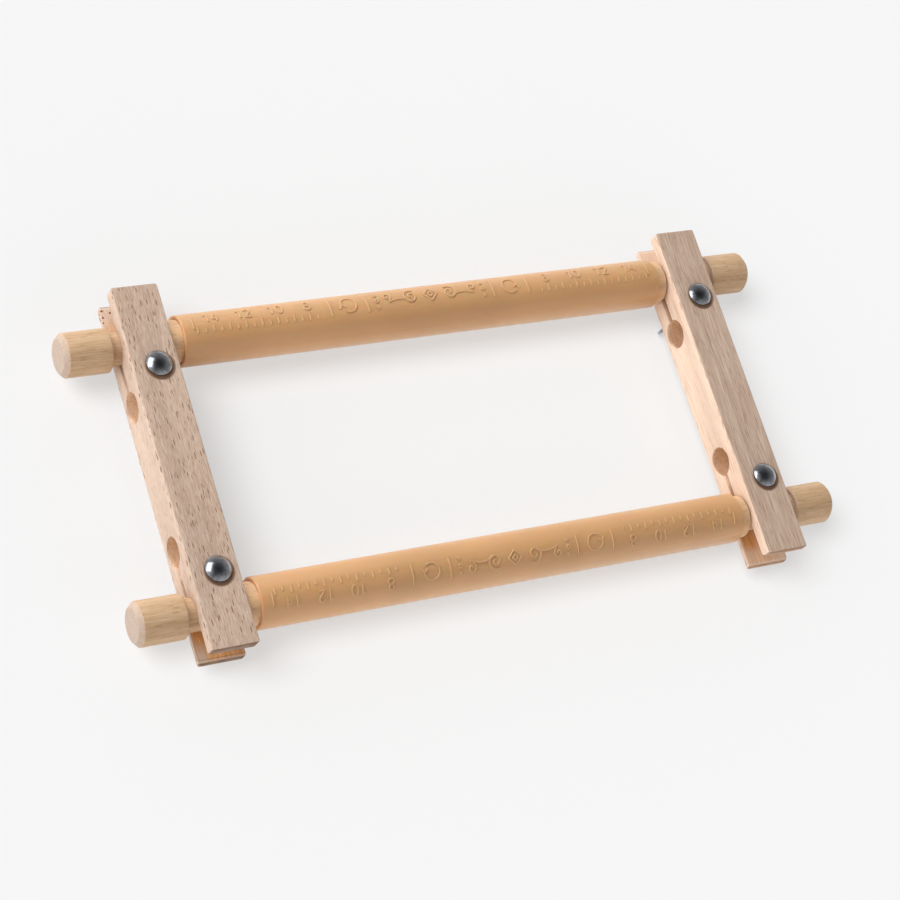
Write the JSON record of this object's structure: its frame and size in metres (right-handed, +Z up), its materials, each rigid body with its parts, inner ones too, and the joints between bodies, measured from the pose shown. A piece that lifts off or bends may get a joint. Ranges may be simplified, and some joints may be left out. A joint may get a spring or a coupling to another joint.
{
  "type": "embroidery clip frame",
  "caption": "Flat hand embroidery frame: slotted wooden arms hold turning dowel rollers, push-on half tubes clip the cloth, and bolts with wing nuts pinch the jaws.",
  "frame": {"origin": "Middle of the frame between the rollers and between the arms, at the height of the four bolt ends that it lies on.", "axes": "+X along the rollers to the right, +Y along the arms to the upper roller, +Z up out of the front face with the bolt heads."},
  "size_m": [0.4574, 0.2202, 0.0494],
  "materials": {
    "beech": "sanded, unvarnished",
    "dowel": "sanded, unvarnished",
    "clip": "satin",
    "steel": "bright zinc plate"
  },
  "bodies": {
    "frame": {"left_arm": "beech", "right_arm": "beech", "bolt_left_upper": "steel", "bolt_left_lower": "steel", "bolt_right_upper": "steel", "bolt_right_lower": "steel"},
    "upper_roller": {"upper_roller": "dowel"},
    "upper_clip": {"upper_clip": "clip"},
    "lower_roller": {"lower_roller": "dowel"},
    "lower_clip": {"lower_clip": "clip"},
    "washer_left_upper": {"washer_left_upper": "steel"},
    "wing_nut_left_upper": {"wing_nut_left_upper": "steel"},
    "washer_left_lower": {"washer_left_lower": "steel"},
    "wing_nut_left_lower": {"wing_nut_left_lower": "steel"},
    "washer_right_upper": {"washer_right_upper": "steel"},
    "wing_nut_right_upper": {"wing_nut_right_upper": "steel"},
    "washer_right_lower": {"washer_right_lower": "steel"},
    "wing_nut_right_lower": {"wing_nut_right_lower": "steel"}
  },
  "joints": [
    {"name": "upper_roller_turn", "type": "hinge", "parent": "frame", "child": "upper_roller", "pos_m": [0, 0.0795, 0.0291], "axis": [1, 0, 0], "continuous": true},
    {"name": "upper_clip_turn", "type": "hinge", "parent": "upper_roller", "child": "upper_clip", "pos_m": [0, 0.0795, 0.0291], "axis": [1, 0, 0], "continuous": true},
    {"name": "lower_roller_turn", "type": "hinge", "parent": "frame", "child": "lower_roller", "pos_m": [0, -0.0795, 0.0291], "axis": [1, 0, 0], "continuous": true},
    {"name": "lower_clip_turn", "type": "hinge", "parent": "lower_roller", "child": "lower_clip", "pos_m": [0, -0.0795, 0.0291], "axis": [1, 0, 0], "continuous": true},
    {"name": "washer_left_upper_slide", "type": "slide", "parent": "frame", "child": "washer_left_upper", "axis": [0, 0, -1], "range_m": [0, 0.002]},
    {"name": "wing_nut_left_upper_turn", "type": "hinge", "parent": "washer_left_upper", "child": "wing_nut_left_upper", "pos_m": [-0.1787, 0.0614, 0.0167], "axis": [0, 0, -1], "range_deg": [0, 720]},
    {"name": "washer_left_lower_slide", "type": "slide", "parent": "frame", "child": "washer_left_lower", "axis": [0, 0, -1], "range_m": [0, 0.002]},
    {"name": "wing_nut_left_lower_turn", "type": "hinge", "parent": "washer_left_lower", "child": "wing_nut_left_lower", "pos_m": [-0.1787, -0.0614, 0.0167], "axis": [0, 0, -1], "range_deg": [0, 720]},
    {"name": "washer_right_upper_slide", "type": "slide", "parent": "frame", "child": "washer_right_upper", "axis": [0, 0, -1], "range_m": [0, 0.002]},
    {"name": "wing_nut_right_upper_turn", "type": "hinge", "parent": "washer_right_upper", "child": "wing_nut_right_upper", "pos_m": [0.1823, 0.0614, 0.0167], "axis": [0, 0, -1], "range_deg": [0, 720]},
    {"name": "washer_right_lower_slide", "type": "slide", "parent": "frame", "child": "washer_right_lower", "axis": [0, 0, -1], "range_m": [0, 0.002]},
    {"name": "wing_nut_right_lower_turn", "type": "hinge", "parent": "washer_right_lower", "child": "wing_nut_right_lower", "pos_m": [0.1823, -0.0614, 0.0167], "axis": [0, 0, -1], "range_deg": [0, 720]}
  ],
  "couplings": [
    {"joint": "washer_left_upper_slide", "follows": "wing_nut_left_upper_turn", "m_per_rad": 0.00015915},
    {"joint": "washer_left_lower_slide", "follows": "wing_nut_left_lower_turn", "m_per_rad": 0.00015915},
    {"joint": "washer_right_upper_slide", "follows": "wing_nut_right_upper_turn", "m_per_rad": 0.00015915},
    {"joint": "washer_right_lower_slide", "follows": "wing_nut_right_lower_turn", "m_per_rad": 0.00015915}
  ]
}
